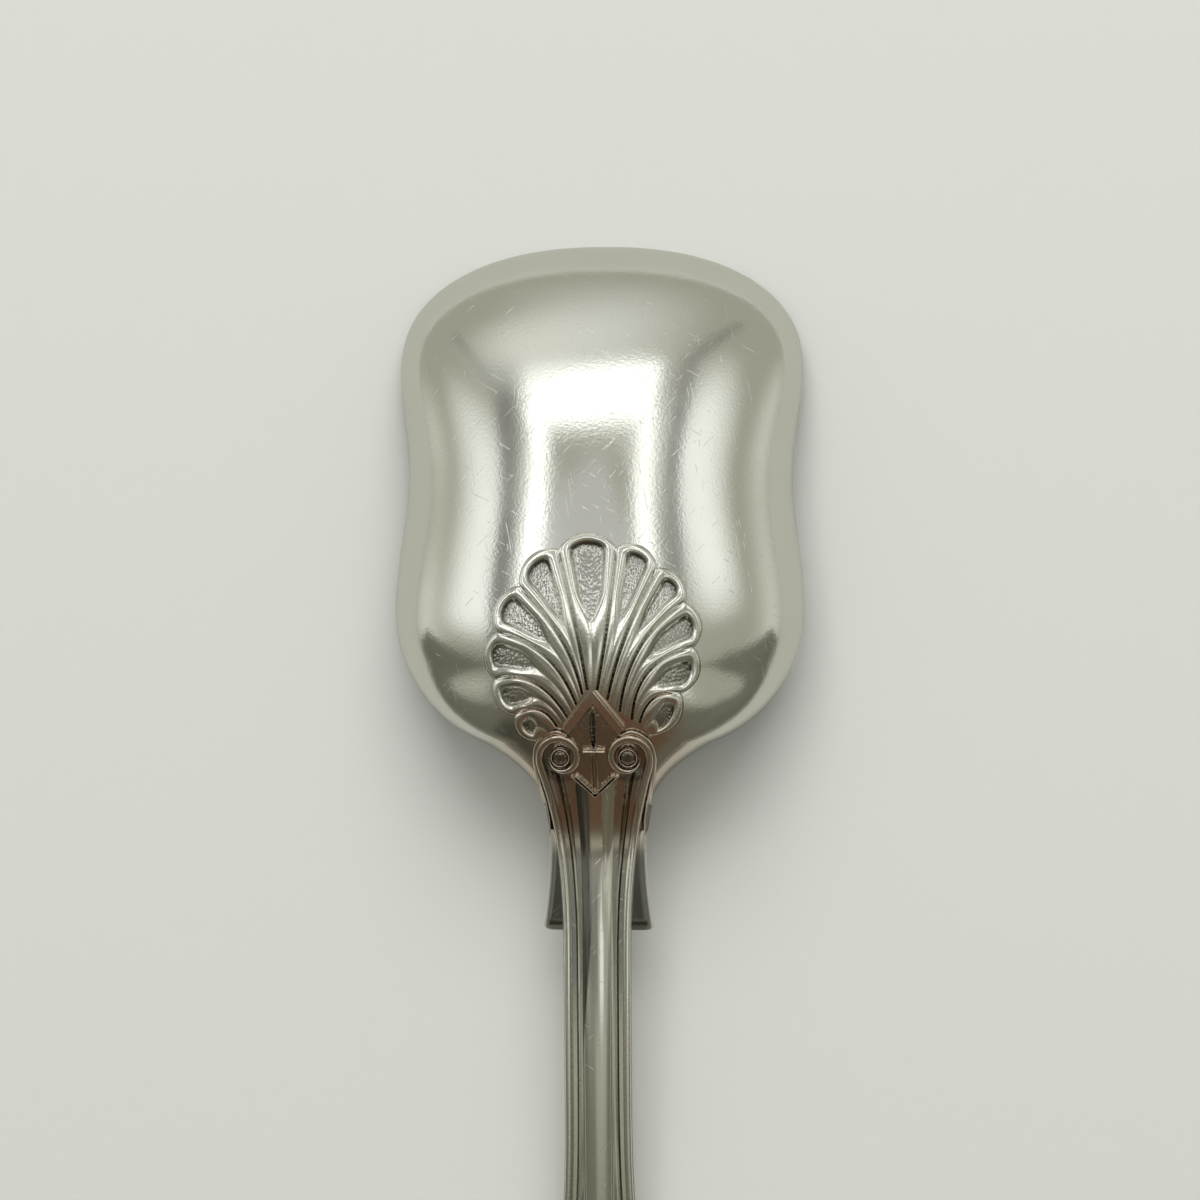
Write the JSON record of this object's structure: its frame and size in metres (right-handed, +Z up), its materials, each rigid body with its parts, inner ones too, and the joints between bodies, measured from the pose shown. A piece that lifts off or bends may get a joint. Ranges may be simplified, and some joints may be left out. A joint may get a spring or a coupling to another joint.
{
  "type": "sugar spoon",
  "caption": "Silver-plated sugar spoon with a broad shovel bowl, a scallop heel under a small pointed hood and two scrolls, and a threaded fiddle handle, lying face down.",
  "frame": {"origin": "Middle of the footprint, on the table, as the spoon lies face down on the lip of its bowl and on the front of its handle near the end.", "axes": "+Y runs along the spoon from the handle's end to the tip of the bowl, +Z is up from the table and out of the bowl's back, and +X is to the right as one looks down on the back with the tip away from the viewer."},
  "size_m": [0.04, 0.152, 0.0158],
  "materials": {
    "bowl_plate": "silver plate over nickel silver, polished, with the fine scratches of long use",
    "handle_plate": "silver plate over nickel silver, polished on the raised threads and duller in the channels",
    "ornament_plate": "struck silver plate, bright on the rims and grey in the hollows, with pounced panels"
  },
  "bodies": {
    "root": {"bowl": "bowl_plate", "stem": "handle_plate", "centre_rib": "handle_plate", "left_scroll": "ornament_plate", "right_scroll": "ornament_plate", "hood": "ornament_plate", "heel_scallop": "ornament_plate", "end_scallop": "ornament_plate"}
  },
  "joints": []
}
